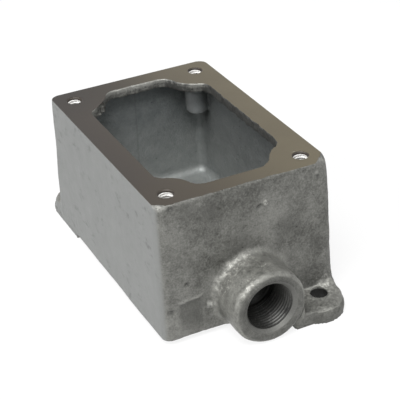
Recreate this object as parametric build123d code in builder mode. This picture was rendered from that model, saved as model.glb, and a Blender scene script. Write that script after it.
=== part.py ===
from build123d import *

import os

os.makedirs("parts", exist_ok=True)

# A cast conduit switch box, in millimetres. +Z is up, out of the open top.
# The origin is on the plane of the feet, under the middle of the box.
# The conduit hub points along -Y.

# Outer box: the walls lean out a little towards the bottom, so that the pattern draws
top_width = 89.6
top_length = 133.8
box_height = 71.2
side_spread = 1.2
end_spread = 2.4
corner_radius = 5.0

# Cavity
wall = 4.8
floor_thickness = 5.5
cavity_corner_radius = 5.0
floor_fillet = 4.5

# Lip round the mouth, scalloped round the cover screws
lip_thickness = 3.4
lip_width_side = 11.8
lip_width_end = 10.4
hub_scallop_radius = 14.7
far_scallop_radius = 16.8
mouth_fillet = 6.0

# Cover screws, set in from the sides and ends, and the bosses that they go into
screw_inset_x = 10.0
screw_inset_y = 10.6
screw_hole_radius = 3.3
screw_hole_depth = 18.0
screw_chamfer = 1.0
boss_radius = 6.0
boss_depth = 23.0

# Conduit hub; the bore is drilled a little above the middle of the cast barrel
hub_radius = 18.7
hub_centre_height = 18.7
hub_projection = 22.6
hub_rim_radius = 3.0
hub_blend_radius = 3.6
bore_rise = 0.8
bore_radius = 11.7
bore_depth = 21.0
bore_chamfer = 2.0
throat_radius = 10.2

# Rib that joins the hub to the lug beside it
rib_thickness = 5.0
rib_setback = 2.0
rib_corner_radius = 2.0

# Mounting lugs at two opposite corners, with feet that run back under the box
foot_height = 2.8
foot_run = 26.0
lug_height = 7.5
lug_radius = 13.8
lug_inset = 0.7
lug_projection = 20.4
lug_cove_radius = 7.0
lug_inner_cove_radius = 2.0
lug_edge_radius = 2.2
lug_hole_radius = 4.2
lug_hole_offset_x = 2.5
lug_hole_offset_y = 1.5

# Heights and places that follow from the sizes
cover_z = foot_height + box_height
floor_z = foot_height + floor_thickness
lip_z = cover_z - lip_thickness
screw_spacing_x = top_width - 2 * screw_inset_x
screw_spacing_y = top_length - 2 * screw_inset_y
side_x = top_width / 2 + side_spread
end_y = top_length / 2 + end_spread
hub_face_y = top_length / 2 + hub_projection


def lean(height):
    """Share of the walls' outward lean that is left at a height: 1 at the base, 0 at the cover face."""
    return 1 - (height - foot_height) / box_height


def side_wall_x(height):
    """Distance of a side wall's outer face from the middle of the box."""
    return top_width / 2 + side_spread * lean(height)


def end_wall_y(height):
    """Distance of an end wall's outer face from the middle of the box."""
    return top_length / 2 + end_spread * lean(height)


def leaning_block(low, high, inset):
    """Block between two heights, its four sides parallel to the walls' outer faces."""
    reach = 2 * end_y
    for plane, wall_at, mode in (
        (Plane.XZ, side_wall_x, Mode.ADD),
        (Plane.YZ, end_wall_y, Mode.INTERSECT),
    ):
        bottom = wall_at(low) - inset
        top = wall_at(high) - inset
        with BuildSketch(plane) as section:
            Polygon((-bottom, low), (bottom, low), (top, high), (-top, high), align=None)
        extrude(section.sketch, amount=reach, both=True, mode=mode)


# Core: the space inside the walls and through the mouth, less the screw bosses
with BuildPart() as core:
    leaning_block(floor_z, lip_z, wall)
    fillet(core.edges().group_by(Axis.Z)[1], radius=cavity_corner_radius)
    fillet(core.faces().sort_by(Axis.Z)[0].edges(), radius=floor_fillet)
    with BuildSketch(Plane.XY.offset(cover_z - boss_depth)):
        with GridLocations(screw_spacing_x, screw_spacing_y, 2, 2):
            Circle(boss_radius)
        with GridLocations(screw_spacing_x + 2 * side_x, screw_spacing_y + 2 * end_y, 2, 2):
            Rectangle(2 * side_x, 2 * end_y)
    extrude(amount=boss_depth, mode=Mode.SUBTRACT)
    with BuildSketch(Plane.XY.offset(lip_z)) as mouth:
        Rectangle(top_width - 2 * lip_width_side, top_length - 2 * lip_width_end)
        for end, scallop_radius in ((-1, hub_scallop_radius), (1, far_scallop_radius)):
            with Locations((0, end * screw_spacing_y / 2)):
                with GridLocations(screw_spacing_x, 0, 2, 1):
                    Circle(scallop_radius, mode=Mode.SUBTRACT)
        fillet(mouth.vertices(), radius=mouth_fillet)
    extrude(amount=lip_thickness)

# Where the lug's round end, its hole and its coves stand, at the hub's end
cove_z = lug_height + lug_cove_radius
lug_centre_x = side_wall_x(cove_z) - lug_inset - lug_radius
lug_centre_y = end_y + lug_projection - lug_radius
lug_inner_x = lug_centre_x - lug_radius
lug_hole_x = lug_centre_x + lug_hole_offset_x
lug_hole_y = lug_centre_y - lug_hole_offset_y


def cove_section(plane, middle, reach, radius):
    """Section through a cove that rises from the lug's top to a wall, reach away from the middle."""
    with BuildSketch(plane) as section:
        with Locations((middle, 0)):
            Rectangle(reach + radius, lug_height + radius, align=(Align.MIN, Align.MIN))
        with Locations((middle + reach + radius, lug_height + radius)):
            Circle(radius, mode=Mode.SUBTRACT)
    return section.sketch


# Lug at the hub's end: a tongue with a round end, coved up to the end wall and round the box's corner
corner_x = side_wall_x(cove_z) - corner_radius
corner_y = end_wall_y(cove_z) - corner_radius
with BuildPart() as lug:
    # The cove is low beside the hole and grows to its full radius at the corner
    sections = []
    for x, radius in (
        (lug_inner_x, lug_inner_cove_radius),
        (lug_hole_x, lug_inner_cove_radius),
        (corner_x, lug_cove_radius),
    ):
        across = Plane(origin=(x, 0, 0), x_dir=(0, -1, 0), z_dir=(-1, 0, 0))
        sections.append(cove_section(across, corner_y, corner_radius, radius))
    loft(sections[:2])
    loft(sections[1:])
    round_section = cove_section(Plane.XZ.offset(corner_y), corner_x, corner_radius, lug_cove_radius)
    revolve(round_section, axis=Axis((corner_x, -corner_y, 0), (0, 0, 1)), revolution_arc=-90)
    with BuildSketch() as tongue:
        with Locations((lug_centre_x, -lug_centre_y)):
            Circle(lug_radius)
            Rectangle(2 * lug_radius, lug_centre_y - end_y + foot_run, align=(Align.CENTER, Align.MIN))
    extrude(tongue.sketch, amount=cove_z, mode=Mode.INTERSECT)
    extrude(tongue.sketch, amount=lug_height)
    lug_top_arcs = lug.edges().filter_by(GeomType.CIRCLE).filter_by_position(Axis.Z, lug_height, lug_height)
    fillet(lug_top_arcs.sort_by(Axis.Y)[0], radius=lug_edge_radius)

with BuildPart() as box_casting:
    leaning_block(foot_height, cover_z, 0)
    fillet(box_casting.edges().group_by(Axis.Z)[1], radius=corner_radius)

    hub_mouth = Plane(origin=(0, -hub_face_y, hub_centre_height), x_dir=(1, 0, 0), z_dir=(0, -1, 0))
    with BuildSketch(hub_mouth):
        Circle(hub_radius)
    extrude(amount=-(hub_face_y - end_y + wall))
    fillet(box_casting.edges(Select.LAST).filter_by(GeomType.ELLIPSE), radius=hub_blend_radius)
    fillet(box_casting.faces().sort_by(Axis.Y)[0].edges(), radius=hub_rim_radius)

    # The rib up the side of the hub, and the low web that joins it to the lug
    rib_front_y = hub_face_y - rib_setback
    rib_inner_x = hub_radius - rib_thickness
    for rib_outer_x, rib_top in ((hub_radius, hub_centre_height), (lug_centre_x, lug_height)):
        with BuildSketch() as web:
            with Locations((rib_inner_x, -rib_front_y)):
                Rectangle(rib_outer_x - rib_inner_x, rib_front_y - end_y + wall, align=(Align.MIN, Align.MIN))
            fillet(web.vertices().group_by(Axis.Y)[0].sort_by(Axis.X)[0], radius=rib_corner_radius)
        extrude(amount=rib_top)

    add(lug.part)
    add(lug.part.rotate(Axis.Z, 180))
    add(core.part, mode=Mode.SUBTRACT)

    for radius, depth in ((bore_radius, bore_depth), (throat_radius, hub_face_y - end_y + 2 * wall)):
        with BuildSketch(hub_mouth):
            with Locations((0, bore_rise)):
                Circle(radius)
        extrude(amount=-depth, mode=Mode.SUBTRACT)
    circles = box_casting.edges().filter_by(GeomType.CIRCLE)
    hub_face_circles = circles.filter_by_position(Axis.Y, -hub_face_y, -hub_face_y)
    chamfer(hub_face_circles.sort_by(SortBy.RADIUS)[0], length=bore_chamfer)

    with Locations(Plane.XY.offset(cover_z)):
        with GridLocations(screw_spacing_x, screw_spacing_y, 2, 2):
            Hole(radius=screw_hole_radius, depth=screw_hole_depth)
    cover_circles = box_casting.edges().filter_by(GeomType.CIRCLE).filter_by_position(Axis.Z, cover_z, cover_z)
    chamfer(cover_circles.group_by(SortBy.RADIUS)[0], length=screw_chamfer)

    with Locations((lug_hole_x, -lug_hole_y, lug_height), (-lug_hole_x, lug_hole_y, lug_height)):
        Hole(radius=lug_hole_radius, depth=2 * lug_height)

box_casting.part.label = "box_casting"
export_step(box_casting.part, "parts/box_casting.step")
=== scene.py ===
import math

import bpy
from mathutils import Matrix, Vector, noise


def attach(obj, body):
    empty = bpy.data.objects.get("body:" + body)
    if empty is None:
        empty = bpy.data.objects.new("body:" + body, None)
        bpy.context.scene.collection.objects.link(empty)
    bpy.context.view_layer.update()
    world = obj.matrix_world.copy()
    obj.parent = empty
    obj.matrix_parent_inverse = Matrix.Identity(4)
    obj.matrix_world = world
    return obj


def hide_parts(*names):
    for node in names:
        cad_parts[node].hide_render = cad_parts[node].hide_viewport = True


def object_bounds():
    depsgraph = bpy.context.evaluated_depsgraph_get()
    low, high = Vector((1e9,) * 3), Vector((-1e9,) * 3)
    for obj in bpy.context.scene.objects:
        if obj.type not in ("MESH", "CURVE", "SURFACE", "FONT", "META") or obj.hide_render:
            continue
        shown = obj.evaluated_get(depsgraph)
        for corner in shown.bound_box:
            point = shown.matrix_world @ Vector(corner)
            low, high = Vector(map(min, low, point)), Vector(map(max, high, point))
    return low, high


MM = 0.001

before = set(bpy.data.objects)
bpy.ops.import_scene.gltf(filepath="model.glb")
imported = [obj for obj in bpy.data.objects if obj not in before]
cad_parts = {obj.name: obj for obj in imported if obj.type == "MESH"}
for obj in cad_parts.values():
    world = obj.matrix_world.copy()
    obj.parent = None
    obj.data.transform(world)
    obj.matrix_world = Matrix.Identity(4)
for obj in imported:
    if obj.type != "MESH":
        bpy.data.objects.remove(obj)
cad_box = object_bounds()

# Sizes of the solid, in millimetres, as in the part's source or close to it
COVER_Z = 74.0
BASE_Z = 2.8
TOP_HALF = Vector((44.8, 66.9))
SPREAD = Vector((1.2, 2.4))
CORNER_RADIUS = 5.0
LIP_DEPTH = 3.4
FLOOR_Z = BASE_Z + 5.5
HUB_CENTRE = Vector((0, 0, 18.7))
HUB_RADIUS = 18.7
HUB_FACE_Y = -89.5
HUB_STEP_Y = -68.5
LUG_TOP = 7.5
LUG_CENTRE = Vector((31.3, -75.9))
LUG_RADIUS = 13.8
LUG_HOLE = Vector((33.80, -74.4))
LUG_HOLE_RADIUS = 4.2
LUG_WALL_Z = 12.0
LUG_SKIN_TOP = 14.0
BORE_AXIS = Vector((0, 0, 19.5))
SCREW_PLACE = Vector((34.8, 56.3))
SCREW_DEPTH = 18.0
BOSS_RADIUS = 6.0
BOSS_FOOT_Z = COVER_Z - 23.0
SCREW_AXES = [
    Vector((side_x * SCREW_PLACE.x, side_y * SCREW_PLACE.y, 0)) for side_y in (-1, 1) for side_x in (-1, 1)
]

# Threads: radii of the crests, the roots, the bevel and the opened hole, then pitch, taper and length
CONDUIT_CREST = 11.6
CONDUIT_ROOT = 12.5
CONDUIT_MOUTH = 13.6
CONDUIT_SEAT = 13.9
CONDUIT_PITCH = 1.814
CONDUIT_TAPER = 1 / 32
SCREW_CREST = 3.3
SCREW_ROOT = 3.65
SCREW_MOUTH = 4.05
SCREW_SEAT = 4.5
SCREW_PITCH = 1.41
SCREW_THREAD_LENGTH = SCREW_DEPTH - 0.2
SCREW_WALL_Z = COVER_Z - SCREW_DEPTH + 0.02

# How a threaded liner is made: its steps, its plain end, the form of a tooth, and the ring at its mouth
AROUND = 96
ROWS_PER_TURN = 6
RUNOUT = 1.0
THREAD_START = 0.15
TOOTH_GAIN = 1.15
TOOTH_FLAT = 0.08
RING_OVERLAP = 0.25
RING_LIFT = 0.03
RING_FLATNESS = 0.02
SEAM_REACH = 0.002

# How the casting is remade, and how near a face or an edge a point counts as on it, in millimetres
VOXEL = 0.6
MOST_TRIANGLES = 190000
SKIN_GAP = 0.02
COVER_BAND = 0.4
MOUTH_BAND = 3.6
EDGE_BAND = 0.7
EDGE_REACH = 3.5
EDGE_APEX = 0.1
GROUND_BAND = 0.6
SLACK = 0.01

# Wear and casting faults of the real box, in millimetres
WORN_CORNER_RADIUS = 8.5
CORNER_WEAR_DEPTH = 3.0
CORNER_WEAR_REACH = 6.0
CRISP_ROUND = 0.3
SHOULDER_ROUND = 1.2
LEFT_CORNER_ROUND = 1.6
RIGHT_CORNER_ROUND = 3.2
LIP_GROWTH = 1.9
LIP_FADE = 12.0
LUG_ROUND = 4.5
LUG_DRAFT = 0.07
FOOT_SPREAD = 0.6
GROOVE_GAP = 0.4
GROOVE_DEPTH = 0.6
STEP_Z = 22.0
STEP_SLOPE = 0.1
STEP_LEFT_X = -38.0
STEP_MIDDLE_X = -31.5
STEP_RIGHT_X = -24.5


class Value:
    """A number that runs through a material, with sums written as plain Python."""

    def __init__(self, finish, socket):
        self.finish = finish
        self.socket = socket

    def _sum(self, operation, *others):
        return self.finish.maths(operation, self, *others)

    def __add__(self, other):
        return self._sum("ADD", other)

    __radd__ = __add__

    def __sub__(self, other):
        return self._sum("SUBTRACT", other)

    def __rsub__(self, other):
        return self.finish.maths("SUBTRACT", other, self)

    def __mul__(self, other):
        return self._sum("MULTIPLY", other)

    def __abs__(self):
        return self._sum("ABSOLUTE")

    def least(self, other):
        return self._sum("MINIMUM", other)

    def most(self, other):
        return self._sum("MAXIMUM", other)

    def ramp(self, low, high):
        """0 below low and 1 above high, smooth between them. low may be the larger."""
        outs = self.finish.add(
            "ShaderNodeMapRange",
            {"interpolation_type": "SMOOTHSTEP"},
            {"Value": self, "From Min": low, "From Max": high},
        )
        return Value(self.finish, outs["Result"])


class Finish:
    """A material and the nodes in it."""

    def __init__(self, name):
        self.material = bpy.data.materials.new(name)
        self.material.use_nodes = True
        self.tree = self.material.node_tree
        self.tree.nodes.clear()
        place = self.add("ShaderNodeTexCoord", {}, {})["Object"]
        self.place = self.vector("SCALE", place, Scale=1 / MM)
        split = self.add("ShaderNodeSeparateXYZ", {}, {"Vector": self.place})
        self.x, self.y, self.z = (Value(self, split[axis]) for axis in "XYZ")
        facing = self.add("ShaderNodeNewGeometry", {}, {})["Normal"]
        split = self.add("ShaderNodeSeparateXYZ", {}, {"Vector": facing})
        self.facing_x, self.facing_y, self.facing_z = (Value(self, split[axis]) for axis in "XYZ")

    def add(self, kind, settings, values):
        """Adds a node, sets its settings, then its sockets, and returns its outputs."""
        node = self.tree.nodes.new(kind)
        for key, setting in settings.items():
            setattr(node, key, setting)
        for key, value in values.items():
            socket = node.inputs[key]
            if isinstance(value, Value):
                value = value.socket
            if isinstance(value, bpy.types.NodeSocket):
                self.tree.links.new(value, socket)
            else:
                socket.default_value = value
        return node.outputs

    def maths(self, operation, *values):
        """A sum of one, two or three numbers or Values."""
        return Value(self, self.add("ShaderNodeMath", {"operation": operation}, dict(enumerate(values)))[0])

    def vector(self, operation, *vectors, **values):
        """The same for vectors. Sockets that aren't vectors are given by name."""
        sockets = dict(enumerate(vectors))
        sockets.update(values)
        return self.add("ShaderNodeVectorMath", {"operation": operation}, sockets)[0]

    def cloud(self, size, detail=3.0, roughness=0.5, stretch=(1, 1, 1), shift=0.0):
        """Soft noise from 0 to 1 whose lumps are about size millimetres across."""
        place = self.vector("MULTIPLY", self.place, [axis / size for axis in stretch])
        place = self.vector("ADD", place, (shift, shift, shift))
        outs = self.add(
            "ShaderNodeTexNoise",
            {"noise_dimensions": "3D"},
            {"Vector": place, "Scale": 1.0, "Detail": detail, "Roughness": roughness},
        )
        return Value(self, outs["Fac"])

    def grains(self, size, shift=0.0):
        """Distance from the nearest of many scattered points, size millimetres apart, in steps of size."""
        place = self.vector("MULTIPLY", self.place, [1 / size] * 3)
        place = self.vector("ADD", place, (shift, shift, shift))
        outs = self.add("ShaderNodeTexVoronoi", {"feature": "F1"}, {"Vector": place, "Scale": 1.0})
        return Value(self, outs["Distance"])

    def gap(self, centre, across, mirrored=False):
        """Distance in millimetres from a line through centre; across is 1 for the two axes that count."""
        place = self.vector("ABSOLUTE", self.place) if mirrored else self.place
        way = self.vector("MULTIPLY", self.vector("SUBTRACT", place, centre), across)
        return Value(self, self.add("ShaderNodeVectorMath", {"operation": "LENGTH"}, {0: way})["Value"])

    def tint(self, colour, other, amount):
        """Mixes a colour with another by an amount from 0 to 1."""
        outs = self.add(
            "ShaderNodeMix",
            {"data_type": "RGBA"},
            {"Factor": amount, "A": self.paint(colour), "B": self.paint(other)},
        )
        return [out for out in outs if out.type == "RGBA"][0]

    def paint(self, colour):
        """A colour as a socket takes it: a fourth number goes to one that is written as three."""
        return (*colour, 1.0) if isinstance(colour, tuple) and len(colour) == 3 else colour

    def near(self, x, y, z, reach):
        """1 within about reach millimetres of a place, falling to 0."""
        gap = self.add("ShaderNodeVectorMath", {"operation": "DISTANCE"}, {0: self.place, 1: (x, y, z)})
        return Value(self, gap["Value"]).ramp(reach * 1.5, reach * 0.5)

    def end_patch(self, x, z, reach):
        """The same on the hub's end, where only x and z count."""
        return self.gap((x, 0, z), (1, 0, 1)).ramp(reach * 1.6, reach * 0.4)

    def metal(self, colour, metallic, roughness, height, strength, depth):
        """Ends the material in a metal surface with a bump of height (0 to 1) times depth millimetres."""
        bump = self.add(
            "ShaderNodeBump", {}, {"Strength": strength, "Distance": depth * MM, "Height": height}
        )["Normal"]
        surface = self.add(
            "ShaderNodeBsdfPrincipled",
            {},
            {"Base Color": self.paint(colour), "Metallic": metallic, "Roughness": roughness, "Normal": bump},
        )["BSDF"]
        self.add("ShaderNodeOutputMaterial", {}, {"Surface": surface})
        return self.material


def select_only(piece):
    bpy.ops.object.select_all(action="DESELECT")
    piece.select_set(True)
    bpy.context.view_layer.objects.active = piece


def apply_modifier(piece, kind, **settings):
    """Adds a modifier to a piece and applies it to the mesh."""
    select_only(piece)
    modifier = piece.modifiers.new(kind.title(), kind)
    for key, setting in settings.items():
        setattr(modifier, key, setting)
    bpy.ops.object.modifier_apply(modifier=modifier.name)


def off_axis(point, axis_point, along):
    """The way to a point from a line through axis_point along X, Y or Z, given as 0, 1 or 2."""
    gap = point - axis_point
    gap[along] = 0
    return gap


def open_hole(mesh, axis_point, along, low, high, reach, seat_radius):
    """Moves a drilled hole's wall out to seat_radius, to make room for a threaded liner.

    The wall's points are those from low to high along the axis whose distance from it is within reach.
    """
    for vertex in mesh.vertices:
        point = vertex.co / MM
        gap = off_axis(point, axis_point, along)
        if low - SLACK <= point[along] <= high + SLACK and reach[0] < gap.length < reach[1]:
            vertex.co += gap.normalized() * (seat_radius - gap.length) * MM


# The casting: a copy of the solid, its holes opened for the threads, remade in small even facets


def casting_copy():
    """A copy of the solid whose bore and screw holes are wide enough for their liners."""
    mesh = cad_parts["box_casting"].data.copy()
    casting = bpy.data.objects.new("casting", mesh)
    bpy.context.scene.collection.objects.link(casting)
    select_only(casting)
    bpy.ops.object.mode_set(mode="EDIT")
    bpy.ops.mesh.select_all(action="SELECT")
    bpy.ops.mesh.remove_doubles(threshold=0.005 * MM)
    bpy.ops.object.mode_set(mode="OBJECT")
    bore_reach = (CONDUIT_CREST - 0.6, CONDUIT_SEAT + 0.2)
    open_hole(mesh, BORE_AXIS, 1, HUB_FACE_Y, HUB_STEP_Y, bore_reach, CONDUIT_SEAT)
    screw_reach = (0.1, SCREW_SEAT + 0.5)
    for screw_axis in SCREW_AXES:
        open_hole(mesh, screw_axis, 2, SCREW_WALL_Z, COVER_Z, screw_reach, SCREW_SEAT)
    return casting


def wall_inset(point, radius=CORNER_RADIUS):
    """How far a point is inside the outer walls, and the way out to the nearest wall."""
    lean = 1 - (point.z - BASE_Z) / (COVER_Z - BASE_Z)
    over_x = abs(point.x) - (TOP_HALF.x + SPREAD.x * lean - radius)
    over_y = abs(point.y) - (TOP_HALF.y + SPREAD.y * lean - radius)
    sign_x = math.copysign(1, point.x)
    sign_y = math.copysign(1, point.y)
    if over_x > 0 and over_y > 0:
        way = Vector((over_x * sign_x, over_y * sign_y, 0))
        return radius - way.length, way.normalized()
    if over_x > over_y:
        return radius - over_x, Vector((sign_x, 0, 0))
    return radius - over_y, Vector((0, sign_y, 0))


def lump(point, size, shift=0.0):
    """Smooth noise from -1 to 1 with lumps about size millimetres across."""
    return noise.noise(point / size + Vector((shift, shift, shift)))


def edge_radius(point, way):
    """Radius of the round on the walls' upper edge: crisp at the sides, soft and uneven at the hub's end."""
    front = max(0.0, -way.y)
    corner = 2 * abs(way.x * way.y) * (point.y < 0)
    wave = 0.5 + 0.9 * lump(point, 9.0, 11.0) + 0.5 * lump(point, 2.5, 5.0)
    corner *= LEFT_CORNER_ROUND if point.x < 0 else RIGHT_CORNER_ROUND
    shoulder = front * min(1.0, max(0.0, (-38 - point.x) / 3))
    front *= 1 - 0.8 * min(1.0, max(0.0, (point.x - 18) / 6))
    front_radius = front * (0.3 + 1.2 * max(0.0, wave)) + shoulder * SHOULDER_ROUND
    return CRISP_ROUND + front_radius + corner * (1.0 + 0.4 * lump(point, 3.0, 6.0))


def soften_edge(point, inset, drop, way):
    """Moves a point beside the walls' upper edge on to the round there, and returns its new drop."""
    # The even mesh cuts the corner: the point first goes back to the face that it came from
    new_inset, new_drop = (inset, 0.0) if inset > drop else (0.0, drop)
    radius = edge_radius(point, way)
    gap = Vector((new_inset - radius, new_drop + EDGE_APEX - radius))
    if gap.x < 0 and gap.y < 0:
        gap *= radius / gap.length
        new_inset, new_drop = gap.x + radius, max(0.0, gap.y + radius - EDGE_APEX)
    point += way * (inset - new_inset)
    point.z = COVER_Z - new_drop
    return new_drop


def lug_hole_gap(point):
    """Distance of a point on a lug from the rim of the lug's hole, endless above the lug."""
    turn = -1 if point.y > 0 else 1
    if point.z > LUG_WALL_Z:
        return math.inf
    return abs(math.hypot(point.x * turn - LUG_HOLE.x, point.y * turn - LUG_HOLE.y) - LUG_HOLE_RADIUS)


def in_lug(point):
    """Whether a point is in the corner of the box that has a lug and its foot, at any height."""
    turn = -1 if point.y > 0 else 1
    return point.x * turn > 13 and point.y * turn < -40


def round_lug(point):
    """Moves a point of a lug's round end in, on to the worn edge between its top and its side."""
    turn = -1 if point.y > 0 else 1
    out = Vector((point.x, point.y)) * turn - LUG_CENTRE
    share = min(1.0, (out.x + 7) / 4, -out.y / 5)
    if point.z > LUG_TOP + 0.2 or share <= 0 or out.length > LUG_RADIUS + 0.6:
        return
    gap = Vector((out.length - LUG_RADIUS + LUG_ROUND, point.z - LUG_TOP + LUG_ROUND))
    if gap.x > 0 and gap.y > 0 and gap.length > LUG_ROUND:
        worn = gap * (1 - share + share * LUG_ROUND / gap.length)
        point.x, point.y = (out * (1 + (worn.x - gap.x) / out.length) + LUG_CENTRE) * turn
        point.z += worn.y - gap.y


# Marks that the mould left on the hub's end: where (x, z), radius and height in millimetres
END_MARKS = (
    (-32.4, 30.7, 1.4, -1.1),
    (-21.8, 16.9, 1.5, 0.8),
    (-20.3, 16.5, 1.2, 0.7),
    (-41.0, 18.0, 2.0, -1.0),
    (-39.6, 19.6, 1.0, 0.8),
    (9.7, 61.6, 1.4, 1.0),
    (6.6, 60.2, 1.2, -1.0),
    (-37.6, 71.6, 1.3, -1.2),
)


# Where the mouth's edge stands out from the even outline or back from it: (x, y), reach and amount
MOUTH_BULGES = (
    (-23.0, 44.5, 7.5, -2.3),
    (18.5, -55.5, 3.5, 1.8),
    (31.5, -40.0, 3.5, 1.5),
)


def end_mark_height(point):
    """Height of the casting marks on the hub's end at a point."""
    height = 0.0
    for mark_x, mark_z, radius, rise in END_MARKS:
        gap = math.hypot(point.x - mark_x, point.z - mark_z)
        gap += 0.35 * radius * lump(point, 1.6, 7.0)
        if gap < 1.6 * radius:
            height += rise * 0.5 * (1 + math.cos(math.pi * min(1, max(0, gap) / (1.6 * radius))))
    # A low step runs across the lower left, higher towards the hub
    if STEP_LEFT_X < point.x < STEP_RIGHT_X:
        step_z = STEP_Z + STEP_SLOPE * (point.x - STEP_MIDDLE_X) + 0.5 * lump(point, 5, 3)
        ends = min(1, (point.x - STEP_LEFT_X) / 2.5, (STEP_RIGHT_X - point.x) / 1.5)
        gap = point.z - step_z
        height += ends * (0.7 * math.exp(-((gap / 1.1) ** 2)) - 0.9 * (gap < 0) * math.exp(gap / 12))
    return height


def wear_corner(point, inset, drop):
    """Moves a point of the near right corner in, on to its worn round, and returns the way out there."""
    wear = math.exp(-max(0.0, drop) / CORNER_WEAR_DEPTH)
    worn_inset, way = wall_inset(point, CORNER_RADIUS + (WORN_CORNER_RADIUS - CORNER_RADIUS) * wear)
    point += way * (worn_inset - inset) * (1 - max(0.0, inset) / CORNER_WEAR_REACH)
    return way


def mouth_bulge(point, ragged):
    """How far the mouth's edge stands out at a point: its ragged edge, and the bulges on top of it."""
    bulge = ragged
    for bulge_x, bulge_y, reach, amount in MOUTH_BULGES:
        gap = math.hypot(point.x - bulge_x, point.y - bulge_y)
        bulge += amount * math.exp(-((gap / reach) ** 2))
    return bulge


def skin_height(point, inset, way, drop, hub_gap, ragged):
    """Height of the cast skin at a point: its lumps, the mould's marks and the groove beside the hub."""
    rough = 0.5 if way.x < -0.5 and inset < 1 else 1.0
    below_cover = min(1.0, max(0.0, drop / 3))
    height = 0.30 * lump(point, 26, 1.0) * below_cover
    height += 0.20 * rough * lump(point, 8, 2.0) * below_cover
    height += 0.12 * rough * lump(point, 3.0, 4.0) * min(1.0, drop)
    inside = inset > 2.5 and point.z > BASE_Z + 3
    if inside:
        height *= 0.8
        if drop < 4.5 and inset < 17:
            height += ragged
    if point.y < -62 and hub_gap > HUB_RADIUS + 2 and not in_lug(point) and inset < 2:
        height += end_mark_height(point)
    beside_hub = point.x > 8 and point.y < -84 and point.z < 16.5
    if beside_hub:
        height -= GROOVE_DEPTH * math.exp(-(((hub_gap - HUB_RADIUS - GROOVE_GAP) / 0.5) ** 2))
    return height


def shape_lug(point, normal, height):
    """Spreads the far foot, rounds a lug's edge at a point and returns the skin's new height there."""
    if point.y > 0 and point.x < -43 and point.z < BASE_Z - 0.1:
        point.x -= FOOT_SPREAD
    round_lug(point)
    if point.z < LUG_SKIN_TOP:
        height += 0.16 * lump(point, 1.8, 9.0)
        height *= min(1.0, lug_hole_gap(point) / 2)
        # The lower edge is rounded, and the sides lean in towards the ground
        if -0.95 < normal.z < -0.2 and point.z < 1.5:
            height -= 0.5 * (1.5 - point.z)
        if abs(normal.z) < 0.6 and abs(point.y) > 69:
            height -= LUG_DRAFT * (LUG_TOP - min(LUG_TOP, point.z))
    return height


def shape_casting(casting):
    """Gives the even mesh the uneven surface and soft edges of a sand casting."""
    mesh = casting.data
    normals = [vertex.normal.copy() for vertex in mesh.vertices]
    for vertex, normal in zip(mesh.vertices, normals):
        point = vertex.co / MM
        if point.y < HUB_STEP_Y + 1 and off_axis(point, BORE_AXIS, 1).length < CONDUIT_SEAT + 0.5:
            continue
        hub_gap = off_axis(point, HUB_CENTRE, 1).length
        inset, way = wall_inset(point)
        drop = COVER_Z - point.z
        on_cover = drop < COVER_BAND and normal.z > 0.45
        if point.x > 0 and point.y < 0 and inset < CORNER_WEAR_REACH:
            way = wear_corner(point, inset, drop)
        if max(inset, drop) < EDGE_REACH and (inset < EDGE_BAND or drop < COVER_BAND):
            drop = soften_edge(point, max(0.0, inset), max(0.0, drop), way)
            on_cover = drop < SKIN_GAP
        ragged = 0.5 * lump(point, 4.0, 14.0) + 0.2 * lump(point, 1.7, 3.0)
        ragged *= 1.0 if max(way.x, way.y) > 0.5 else 0.4
        if inset > 3:
            fade = max(0.0, 1 - (drop - LIP_DEPTH) / LIP_FADE)
            point.z -= LIP_GROWTH * min(drop / LIP_DEPTH, fade)
        if drop < MOUTH_BAND and 9.0 < inset < 22.0:
            point += Vector((normal.x, normal.y, 0)) * mouth_bulge(point, ragged * on_cover)
        if on_cover:
            point.z = COVER_Z - SKIN_GAP
            vertex.co = point * MM
            continue
        height = skin_height(point, inset, way, drop, hub_gap, ragged)
        if in_lug(point):
            height = shape_lug(point, normal, height)
        if point.z < GROUND_BAND:
            height = min(0.0, 0.4 * height)
        point += normal * height
        point.x = min(max(point.x, cad_box[0].x / MM + SKIN_GAP), cad_box[1].x / MM - SKIN_GAP)
        point.z = min(max(point.z, 0.0), COVER_Z - SKIN_GAP)
        vertex.co = point * MM


def is_cast(point):
    """Whether a point is on the cast skin, which is smoothed, and not on a machined face or in a hole."""
    on_cover = point.z > COVER_Z - COVER_BAND
    in_bore = point.y < HUB_STEP_Y and off_axis(point, BORE_AXIS, 1).length < CONDUIT_SEAT + 0.6
    return not (on_cover or in_bore or lug_hole_gap(point) < 1.2)


def make_casting():
    """The casting with its skin, in facets small enough for it."""
    casting = casting_copy()
    apply_modifier(casting, "REMESH", mode="VOXEL", voxel_size=VOXEL * MM, adaptivity=0.0)
    mesh = casting.data
    skin = casting.vertex_groups.new(name="cast_skin")
    skin.add([vertex.index for vertex in mesh.vertices if is_cast(vertex.co / MM)], 1.0, "REPLACE")
    apply_modifier(casting, "SMOOTH", factor=0.5, iterations=5, vertex_group="cast_skin")
    shape_casting(casting)
    triangles = len(mesh.polygons) * 2
    ratio = min(1.0, MOST_TRIANGLES / triangles)
    apply_modifier(casting, "DECIMATE", decimate_type="COLLAPSE", ratio=ratio)
    casting.vertex_groups.clear()
    select_only(casting)
    bpy.ops.object.shade_smooth()
    # The machined cover face stays flat up to its edge
    flat_z = (COVER_Z - SKIN_GAP - 0.001) * MM
    corners = casting.data.vertices
    for face in casting.data.polygons:
        face.use_smooth = min(corners[index].co.z for index in face.vertices) < flat_z
    return casting


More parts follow.
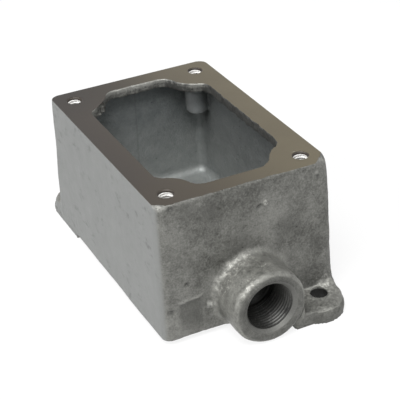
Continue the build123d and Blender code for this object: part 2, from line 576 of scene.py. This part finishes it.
def make_liner(name, crest, root, mouth, seat, pitch, length, taper):
    """A threaded tube along -Z with its mouth at the origin: a flat ring, a bevel, then the thread."""
    turns = (length - RUNOUT) / pitch
    rows = int(turns * ROWS_PER_TURN) + 5
    bpy.ops.object.select_all(action="DESELECT")
    bpy.ops.mesh.primitive_grid_add(x_subdivisions=AROUND, y_subdivisions=rows - 1, size=2)
    liner = bpy.context.object
    liner.name = name
    for vertex in liner.data.vertices:
        turn = (vertex.co.x + 1) / 2
        row = round((vertex.co.y + 1) / 2 * (rows - 1))
        if row == 0:
            radius, depth = seat + RING_OVERLAP, 0.0
        elif row == 1:
            radius, depth = mouth, 0.0
        elif row == rows - 2:
            radius, depth = crest - taper * length, length - RUNOUT
        elif row == rows - 1:
            radius, depth = seat, length
        else:
            depth = (row - 2) / ROWS_PER_TURN * pitch + THREAD_START
            phase = (depth / pitch - turn) % 1.0
            tooth = 1 - abs(2 * phase - 1)
            tooth = min(1.0, max(0.0, TOOTH_GAIN * tooth - TOOTH_FLAT))
            radius = crest + (root - crest) * tooth - taper * depth
            radius = max(radius, mouth - depth)
            # The thread runs out over its last turn and a half
            end = min(1.0, (length - RUNOUT - depth) / (1.5 * pitch))
            radius = crest + (radius - crest) * max(0.0, end) if depth > 2 * pitch else radius
        angle = 2 * math.pi * turn
        vertex.co = Vector((radius * math.cos(angle), radius * math.sin(angle), -depth)) * MM
    select_only(liner)
    bpy.ops.object.mode_set(mode="EDIT")
    bpy.ops.mesh.select_all(action="SELECT")
    bpy.ops.mesh.remove_doubles(threshold=SEAM_REACH * MM)
    bpy.ops.mesh.normals_make_consistent(inside=False)
    bpy.ops.mesh.select_all(action="DESELECT")
    bpy.ops.object.mode_set(mode="OBJECT")
    bpy.ops.object.shade_smooth()
    return liner


def dress_liner(liner, thread_metal, ring_metal, ahead):
    """Gives a liner its finish, and the flat ring at its mouth the finish of the surface round it."""
    liner.data.materials.clear()
    liner.data.materials.append(thread_metal)
    liner.data.materials.append(ring_metal)
    furthest = max(vertex.co.dot(ahead) for vertex in liner.data.vertices)
    for face in liner.data.polygons:
        low = min(liner.data.vertices[index].co.dot(ahead) for index in face.vertices)
        face.material_index = 1 if low > furthest - RING_FLATNESS * MM else 0
    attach(liner, "root")


def place(piece, matrix):
    """Moves a piece's mesh, and leaves the origin where the frame has it."""
    piece.data.transform(matrix)
    piece.data.update()


def copy_piece(piece, name):
    twin = bpy.data.objects.new(name, piece.data.copy())
    bpy.context.scene.collection.objects.link(twin)
    return twin


# Finishes

# Colours, as linear red, green and blue
CAST_DARK = (0.040, 0.040, 0.035)
CAST_BRIGHT = (0.205, 0.205, 0.190)
DARKER_SKIN_TONE = (0.05, 0.05, 0.045)
SIDE_SKIN = (0.196, 0.202, 0.198)
STREAK = (0.09, 0.09, 0.09)
INSIDE_DARK = (0.145, 0.16, 0.163)
INSIDE_PAINTED_LIGHT = (0.30, 0.315, 0.307)
INSIDE_RIGHT_SHADE = (0.10, 0.103, 0.10)
PARTING_LINE = (0.06, 0.065, 0.065)
BOSS_PAINTED_LIGHT = (0.27, 0.28, 0.28)
LIP_SHADE = (0.05, 0.05, 0.047)
LIP_LIT = (0.26, 0.26, 0.24)
WEAR_AND_SHEEN = (0.24, 0.24, 0.218)
GLINT = (0.6, 0.59, 0.55)
GRAIN_AND_SHADE = (0.03, 0.03, 0.027)
LUG_EDGE_HIGHLIGHT = (0.36, 0.36, 0.33)
BELOW_STEP_SHADE = (0.06, 0.06, 0.055)
STEP_HIGHLIGHT = (0.3, 0.3, 0.28)
PIT_SHADE = (0.02, 0.02, 0.018)
HOLE_SHADE = (0.006, 0.006, 0.005)
COVER_LEFT_DIM = (0.030, 0.0235, 0.0205)
COVER_RIGHT_LIT = (0.122, 0.103, 0.064)
COVER_WORN = (0.06, 0.052, 0.040)
COVER_NEAR_DIM = (0.046, 0.036, 0.025)
COVER_FAR_DIM = (0.02, 0.016, 0.013)
THREAD_SHADE_DARK = (0.03, 0.03, 0.028)
THREAD_SHADE_MID = (0.055, 0.055, 0.05)
THREAD_UPPER_LIGHT = (0.25, 0.25, 0.23)
CREST_HIGHLIGHT = (0.25, 0.25, 0.24)
THREAD_SPECK = (0.1, 0.1, 0.093)
BARE_BEVEL = (0.15, 0.15, 0.14)
CUT_METAL = (0.85, 0.84, 0.82)
SCREW_RIM = (0.035, 0.028, 0.022)
SCREW_DEEP_SHADE = (0.2, 0.2, 0.19)

# Where the hub's end is darker in patches, (x, z) and reach in millimetres
END_DARK_PATCHES = (
    (-18.5, 64.5, 5.5),
    (-31.0, 69.0, 5.0),
    (-31.0, 15.5, 5.5),
    (-30.0, 9.5, 5.0),
    (-5.0, 43.0, 7.0),
    (20.0, 45.0, 6.0),
    (33.0, 15.5, 6.0),
)


# Where painted glints lie: the hub's blend, barrel and rim, and the lug's cove, (x, y, z) and reach
GLINT_PLACES = (
    (-17.0, -70.0, 31.0, 9.0),
    (-6.0, -70.5, 38.5, 7.0),
    (1.5, -82.0, 37.0, 3.5),
    (-11.0, -88.0, 34.0, 5.0),
    (40.0, -71.5, 9.0, 6.0),
    (27.0, -73.0, 8.0, 5.0),
    (36.0, -78.0, 8.5, 5.0),
)


# Painted highlights on the raised marks of the hub's end and painted shade in its dents and pits, (x, z),
# reach and level
END_HIGHLIGHTS_AND_SHADE = (
    (-21.8, 17.1, 1.8, 0.27),
    (-20.3, 16.7, 1.4, 0.27),
    (9.9, 61.5, 1.3, 0.5),
    (6.6, 60.2, 1.2, 0.05),
    (-32.4, 30.7, 1.3, 0.03),
    (-37.6, 71.6, 1.5, 0.02),
    (37.4, 67.4, 1.2, 0.03),
    (37.2, 69.4, 1.0, 0.22),
    (-41.5, 18.4, 1.5, 0.04),
    (-44.3, 63.5, 1.2, 0.04),
)


def cast_metal():
    """Dull sand-cast aluminium, with a machined cover face."""
    finish = Finish("cast_metal")
    x, y, z = finish.x, finish.y, finish.z
    front = y * -1
    hub_face = -HUB_FACE_Y
    lip_z = COVER_Z - LIP_DEPTH - LIP_GROWTH

    # Where on the box
    left = (x * -1).ramp(TOP_HALF.x - 1.8, TOP_HALF.x - 0.3) * (finish.facing_x * -1).ramp(0.45, 0.98)
    inner = abs(x).ramp(TOP_HALF.x - 1.3, TOP_HALF.x - 2.3) * abs(y).ramp(TOP_HALF.y - 1.3, TOP_HALF.y - 2.3)
    inner = inner * z.ramp(FLOOR_Z - 1.3, FLOOR_Z)
    lip = inner * z.ramp(lip_z - 0.5, lip_z + 0.3)
    under_lip = inner - lip
    cover = z.ramp(COVER_Z - 0.08, COVER_Z - 0.04) * finish.facing_z.ramp(0.7, 0.9)
    bore = finish.gap(BORE_AXIS, (1, 0, 1)).ramp(CONDUIT_SEAT + 0.2, CONDUIT_SEAT)
    bore = bore * front.ramp(61.0, 63.0) * front.ramp(hub_face - 0.5, hub_face - 0.9)
    hub_gap = finish.gap(HUB_CENTRE, (1, 0, 1))
    hub = hub_gap.ramp(HUB_RADIUS + 4.8, HUB_RADIUS + 1.3) * front.ramp(66.5, 70.5)
    hub_ring = hub * front.ramp(hub_face - 0.9, hub_face - 0.3) * (finish.facing_y * -1).ramp(0.8, 0.97)
    lug_gap = finish.gap((LUG_HOLE.x, -LUG_HOLE.y, 0), (1, 1, 0), mirrored=True)
    lug_hole = lug_gap.ramp(LUG_HOLE_RADIUS + 1.0, LUG_HOLE_RADIUS + 0.5) * (x * y).ramp(0.0, -100.0)
    lug_hole = lug_hole * z.ramp(LUG_TOP - 0.4, LUG_TOP - 0.8)
    lug = front.ramp(66.0, 69.5) * x.ramp(21.0, 24.0) * z.ramp(17.0, 11.0)
    lug_top = lug * finish.facing_z.ramp(0.6, 0.9)
    lug_edge = lug * finish.facing_z.ramp(0.5, 0.75) - lug_top
    groove = abs(hub_gap - HUB_RADIUS - GROOVE_GAP).ramp(0.8, 0.2) * front.ramp(84.0, 86.0)
    groove = groove * x.ramp(8, 11) * z.ramp(17.5, 15.0)
    rough_skin = 1 - left * 0.75

    # Clouds, grit, sand and pits of the cast skin
    broad = finish.cloud(30, 3, 0.55) - 0.5
    patchy = finish.cloud(9, 4, 0.6, shift=3.0) - 0.5
    mottle = finish.cloud(2.4, 3, 0.7, shift=8.0) - 0.5
    grit = finish.cloud(0.9, 2, 0.6, shift=5.0) - 0.5
    sand = finish.grains(1.1)
    pitted = finish.cloud(9, 1, 0.5, shift=6.0).ramp(0.5, 0.62)
    pits = finish.grains(4.5, 4.0).ramp(0.15, 0.05) * pitted * rough_skin

    tone = 0.5 + broad * 0.7 + (patchy * 0.7 + mottle * 0.5 + grit * 0.7) * rough_skin
    tone = tone - x.ramp(5, 35) * 0.06 + (x * -1).ramp(5, 35) * z.ramp(45, 15) * 0.16
    colour = finish.tint(CAST_DARK, CAST_BRIGHT, tone.ramp(0.0, 1.0))
    end_wall = front.ramp(65.5, 66.5)
    for stain_x, stain_z, reach in END_DARK_PATCHES:
        dark_patch = finish.end_patch(stain_x, stain_z, reach) * end_wall * patchy.ramp(-0.25, 0.1)
        colour = finish.tint(colour, DARKER_SKIN_TONE, dark_patch * 0.45)
    streaks = finish.cloud(5, 4, 0.6, stretch=(0.4, 0.7, 1.3), shift=2.0).ramp(0.54, 0.7)
    streaks = streaks * finish.cloud(22, 2, 0.5, shift=4.0).ramp(0.4, 0.6)
    colour = finish.tint(colour, SIDE_SKIN, left * 0.85)
    colour = finish.tint(colour, STREAK, left * streaks * 0.65)

    # Inside, painted light makes it paler below and on the far boss; a parting line runs down the far end
    deep = z.ramp(70.0, 15.0)
    # Painted light: the inner walls grow paler towards the floor
    inner_tone = finish.tint(INSIDE_DARK, INSIDE_PAINTED_LIGHT, deep * 0.9 + patchy * 0.8 + mottle * 0.7)
    # Painted shade on the right-hand inner wall
    right_wall = (finish.facing_x * -1).ramp(0.5, 0.9) * z.ramp(5, 45)
    inner_tone = finish.tint(inner_tone, INSIDE_RIGHT_SHADE, right_wall * 0.45)
    colour = finish.tint(colour, inner_tone, under_lip * 0.85)
    parting = abs(x - 1.3).ramp(0.7, 0.2) * y.ramp(60.0, 62.0) * under_lip
    colour = finish.tint(colour, PARTING_LINE, parting * 0.18)
    # Painted light on the far boss
    boss = finish.gap((SCREW_PLACE.x, SCREW_PLACE.y, 0), (1, 1, 0)).ramp(BOSS_RADIUS + 2, BOSS_RADIUS + 1)
    boss = boss * z.ramp(BOSS_FOOT_Z - 1.5, BOSS_FOOT_Z) * under_lip
    colour = finish.tint(colour, BOSS_PAINTED_LIGHT, boss * 0.5)
    # Painted light and shade on the lip: lighter where it faces the near end, darker where it faces the
    # right and along its lower part
    lip_light = (finish.facing_y * -1).ramp(-0.2, 0.8) * 0.75 + mottle * 1.5 + grit
    lip_light = lip_light - (finish.facing_x * -1).ramp(0.3, 0.8) * 0.4 - z.ramp(72.4, 71.4) * 0.45
    lip_tone = finish.tint(LIP_SHADE, LIP_LIT, lip_light.ramp(-0.2, 0.9))
    colour = finish.tint(colour, lip_tone, lip * 0.9)

    # Rubbed wear with a painted sheen on the hub and the lug's top, and painted glints in places
    barrel = (hub - hub_ring).most(lug_top) * (0.34 + mottle * 1.2 + patchy * 0.4)
    colour = finish.tint(colour, WEAR_AND_SHEEN, barrel)
    dulled = (lug - lug_top).least(front.ramp(70, 76)).most(hub_ring * (1.6 + mottle * 6))
    colour = finish.tint(colour, DARKER_SKIN_TONE, dulled * 0.3)
    # Painted glints on sand grains and blotches of the hub and the lug near the listed places
    glint_grains = sand.ramp(0.36, 0.15) * mottle.ramp(-0.05, 0.12)
    glint_mask = glint_grains.most(mottle.ramp(-0.02, 0.2) * 0.5) * hub.most(lug)
    for place_x, place_y, place_z, reach in GLINT_PLACES:
        glint_amount = glint_mask * finish.near(place_x, place_y, place_z, reach)
        colour = finish.tint(colour, GLINT, glint_amount * 0.5)
    # Darker sand grains on the lug's top
    colour = finish.tint(colour, GRAIN_AND_SHADE, lug_top * sand.ramp(0.42, 0.7) * 0.25)
    # Painted highlight along the lug's rounded top edge
    colour = finish.tint(colour, LUG_EDGE_HIGHLIGHT, lug_edge * 0.5)
    # Painted shade in the groove beside the hub
    colour = finish.tint(colour, GRAIN_AND_SHADE, groove * 0.7)
    # Painted highlights on the bumps and painted shade in the dents of the hub's end
    for place_x, place_z, reach, light in END_HIGHLIGHTS_AND_SHADE:
        spot = finish.end_patch(place_x, place_z, reach) * end_wall * mottle.ramp(-0.15, 0.1)
        colour = finish.tint(colour, (light, light, light * 0.93), spot * 0.75)
    # Painted shade below the low step on the lower left, and a painted highlight along its edge
    step = z - STEP_Z - (x - STEP_MIDDLE_X) * STEP_SLOPE - mottle
    step_end = x.ramp(STEP_LEFT_X, STEP_LEFT_X + 2) * end_wall
    below_step = step.ramp(0.2, -0.6) * (x + patchy * 10).ramp(-22.0, -29.0) * step_end
    colour = finish.tint(colour, BELOW_STEP_SHADE, below_step * z.ramp(5.0, 12.0) * 0.4)
    on_step = abs(step - 0.6).ramp(0.9, 0.2) * x.ramp(STEP_RIGHT_X, STEP_RIGHT_X - 1.5) * step_end
    colour = finish.tint(colour, STEP_HIGHLIGHT, on_step * 0.2)
    # Painted shade in the pits
    colour = finish.tint(colour, PIT_SHADE, pits * 0.7)
    # Painted shade: the bore's seat and the lug's hole are near black inside
    colour = finish.tint(colour, HOLE_SHADE, bore.most(lug_hole) * 0.95)

    # The cover face, browner on the left; a painted reflection makes it darker to the left, most at the near
    # and far left, and lighter to the right
    worn = finish.cloud(24, 2, 0.5, shift=12.0)
    side = (x - y * 0.12).ramp(-52, 52)
    face_colour = finish.tint(COVER_LEFT_DIM, COVER_RIGHT_LIT, side)
    face_colour = finish.tint(face_colour, COVER_WORN, worn * 0.4)
    face_colour = finish.tint(face_colour, COVER_NEAR_DIM, front.ramp(30, 66) * side.ramp(0.9, 0.3) * 0.4)
    face_colour = finish.tint(face_colour, COVER_FAR_DIM, y.ramp(30, 60) * side.ramp(0.6, 0.1) * 0.5)
    colour = finish.tint(colour, face_colour, cover)

    sandy = (sand - 0.5) * (0.3 + lug_top * 0.6)
    height = 0.5 + rough_skin * (patchy * 0.4 + mottle * 0.9 + grit * 0.55 + sandy)
    height = (height - pits * 0.8) * (1 - cover) + cover * (0.5 + grit * 0.03)
    roughness = 0.54 + patchy * 0.25 - hub * 0.06
    roughness = roughness * (1 - cover) + cover * (0.42 + worn * 0.1)
    return finish.metal(colour, 0.5, roughness, height, 0.8, 0.35)


def conduit_metal():
    """Conduit thread in painted shade, darker where it faces up and lighter where it faces down, with
    painted highlights on its crests near the mouth at the right; the bevel is bare.
    """
    finish = Finish("conduit_metal")
    front = finish.y * -1
    gap = finish.gap(BORE_AXIS, (1, 0, 1))
    smear = finish.cloud(5, 3, 0.6)
    fine = finish.cloud(0.7, 2, 0.5, stretch=(1, 0.4, 1))
    colour = finish.tint(THREAD_SHADE_DARK, THREAD_SHADE_MID, (smear * 0.7 + fine * 0.3).ramp(0.25, 0.75))
    # Painted shade where the thread faces up, painted light where it faces down
    colour = finish.tint(colour, HOLE_SHADE, finish.facing_z.ramp(0.0, 0.7) * 0.85)
    colour = finish.tint(colour, THREAD_UPPER_LIGHT, (finish.facing_z * -1).ramp(-0.3, 0.7) * 0.5)
    # Painted highlights on the crests near the mouth, on the right
    crest = gap.ramp(CONDUIT_CREST + 0.5, CONDUIT_CREST - 0.1)
    crest = crest * front.ramp(75.0, 86.0) * finish.x.ramp(-4.0, 4.0)
    colour = finish.tint(colour, CREST_HIGHLIGHT, crest * smear.ramp(0.3, 0.6) * 0.5)
    colour = finish.tint(colour, THREAD_SPECK, fine.ramp(0.56, 0.66) * 0.25)
    bevel_y = -HUB_FACE_Y - (CONDUIT_MOUTH - CONDUIT_CREST)
    bevel = front.ramp(bevel_y - 0.05, bevel_y + 0.2)
    bevel = bevel * gap.ramp(CONDUIT_CREST + 0.1, CONDUIT_CREST + 0.4)
    colour = finish.tint(colour, BARE_BEVEL, bevel * (0.5 + fine * 0.4))
    return finish.metal(colour, 0.6, 0.5 + (smear - 0.5) * 0.2, fine, 0.3, 0.08)


def screw_metal():
    """Bright cut metal, with painted shade deeper in the hole; the bevel at the hole's mouth is as dull as
    the cover face.
    """
    finish = Finish("screw_metal")
    fine = finish.cloud(0.7, 2, 0.5)
    rim = finish.z.ramp(COVER_Z - 1.5, COVER_Z - 1.2)
    colour = finish.tint(CUT_METAL, SCREW_RIM, rim)
    # Painted shade deeper in the hole
    colour = finish.tint(colour, SCREW_DEEP_SHADE, finish.z.ramp(COVER_Z - 2.4, COVER_Z - 3.8) * 0.6)
    return finish.metal(colour, 0.3, 0.35 + rim * 0.2, fine, 0.3, 0.08)


def stage_finish(name, level, glow):
    """Plain pale floor that also reads as white where the camera sees it, and keeps the shadow."""
    finish = Finish(name)
    ray = finish.add("ShaderNodeLightPath", {}, {})
    seen = Value(finish, ray["Is Camera Ray"]).most(Value(finish, ray["Is Glossy Ray"]))
    matt = finish.add("ShaderNodeBsdfDiffuse", {}, {"Color": (level, level, level, 1.0)})["BSDF"]
    light = finish.add("ShaderNodeEmission", {}, {"Color": (1, 1, 1, 1), "Strength": 1.0})["Emission"]
    both = finish.add("ShaderNodeMixShader", {}, {0: seen * glow, 1: matt, 2: light})["Shader"]
    finish.add("ShaderNodeOutputMaterial", {}, {"Surface": both})
    return finish.material


# Pieces

casting = make_casting()
casting.data.materials.clear()
casting_metal = cast_metal()
casting.data.materials.append(casting_metal)
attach(casting, "root")
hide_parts("box_casting")

conduit_thread = make_liner(
    "conduit_thread", CONDUIT_CREST, CONDUIT_ROOT, CONDUIT_MOUTH, CONDUIT_SEAT, CONDUIT_PITCH,
    HUB_STEP_Y - HUB_FACE_Y, CONDUIT_TAPER,
)
bore_mouth = Matrix.Translation((BORE_AXIS + Vector((0, HUB_FACE_Y - RING_LIFT, 0))) * MM)
place(conduit_thread, bore_mouth @ Matrix.Rotation(math.pi / 2, 4, "X"))
dress_liner(conduit_thread, conduit_metal(), casting_metal, Vector((0, -1, 0)))

screw_thread = make_liner(
    "screw_thread", SCREW_CREST, SCREW_ROOT, SCREW_MOUTH, SCREW_SEAT, SCREW_PITCH, SCREW_THREAD_LENGTH, 0,
)
screw_finish = screw_metal()
for index, screw_axis in enumerate(SCREW_AXES):
    liner = copy_piece(screw_thread, f"screw_thread_{index + 1}")
    place(liner, Matrix.Translation((screw_axis + Vector((0, 0, COVER_Z))) * MM))
    dress_liner(liner, screw_finish, casting_metal, Vector((0, 0, 1)))
bpy.data.objects.remove(screw_thread)

# Floor, lights and camera

LAMP_TARGET = Vector((0, 0, 0.035))
ROOM_LIGHT = 0.4

bpy.ops.object.select_all(action="DESELECT")
bpy.ops.mesh.primitive_plane_add(size=6, location=(0, 0, 0))
floor = bpy.context.object
floor.name = "floor"
floor.data.materials.append(stage_finish("floor_white", 0.85, 0.85))

# The surroundings look white to the camera and in reflections, and light the box less than that
world = bpy.data.worlds.new("studio")
bpy.context.scene.world = world
world.use_nodes = True
nodes = world.node_tree.nodes
nodes.clear()
background = nodes.new("ShaderNodeBackground")
light_path = nodes.new("ShaderNodeLightPath")
seen = nodes.new("ShaderNodeMath")
seen.operation = "MAXIMUM"
level = nodes.new("ShaderNodeMapRange")
level.inputs["To Min"].default_value = ROOM_LIGHT
level.inputs["To Max"].default_value = 1.0
output = nodes.new("ShaderNodeOutputWorld")
links = world.node_tree.links
links.new(light_path.outputs["Is Camera Ray"], seen.inputs[0])
links.new(light_path.outputs["Is Glossy Ray"], seen.inputs[1])
links.new(seen.outputs[0], level.inputs["Value"])
links.new(level.outputs["Result"], background.inputs["Strength"])
links.new(background.outputs["Background"], output.inputs["Surface"])
background.inputs["Color"].default_value = (1, 1, 1, 1)


def lamp(name, place, size, power):
    """A soft square lamp that points at the box."""
    data = bpy.data.lights.new(name, "AREA")
    data.shape = "SQUARE"
    data.size = size
    data.energy = power
    light = bpy.data.objects.new(name, data)
    bpy.context.scene.collection.objects.link(light)
    light.location = place
    aim = LAMP_TARGET - Vector(place)
    light.rotation_euler = aim.to_track_quat("-Z", "Y").to_euler()


lamp("side_lamp", (-1.1, -0.1, 0.7), 0.7, 10.5)
lamp("top_lamp", (-0.45, -0.6, 1.3), 0.6, 23)
lamp("front_lamp", (0.5, -1.3, 0.7), 0.8, 3.5)

# The camera is the photo's, worked out from the edges of the box
camera_data = bpy.data.cameras.new("camera")
camera_data.sensor_width = 36
camera_data.sensor_fit = "HORIZONTAL"
camera_data.lens = 115.222
camera_data.clip_start = 0.01
camera = bpy.data.objects.new("camera", camera_data)
bpy.context.scene.collection.objects.link(camera)
right = Vector((0.89603703, -0.44124912, -0.04916149))
up = Vector((0.26011783, 0.43200552, 0.86354499))
back = Vector((-0.35980043, -0.78655607, 0.50186971))
eye = Vector((-228.2934, -515.7861, 358.8831)) * MM
turn = Matrix((right, up, back)).transposed().to_4x4()
camera.matrix_world = Matrix.Translation(eye) @ turn
bpy.context.scene.camera = camera
bpy.context.scene.view_settings.view_transform = "Standard"
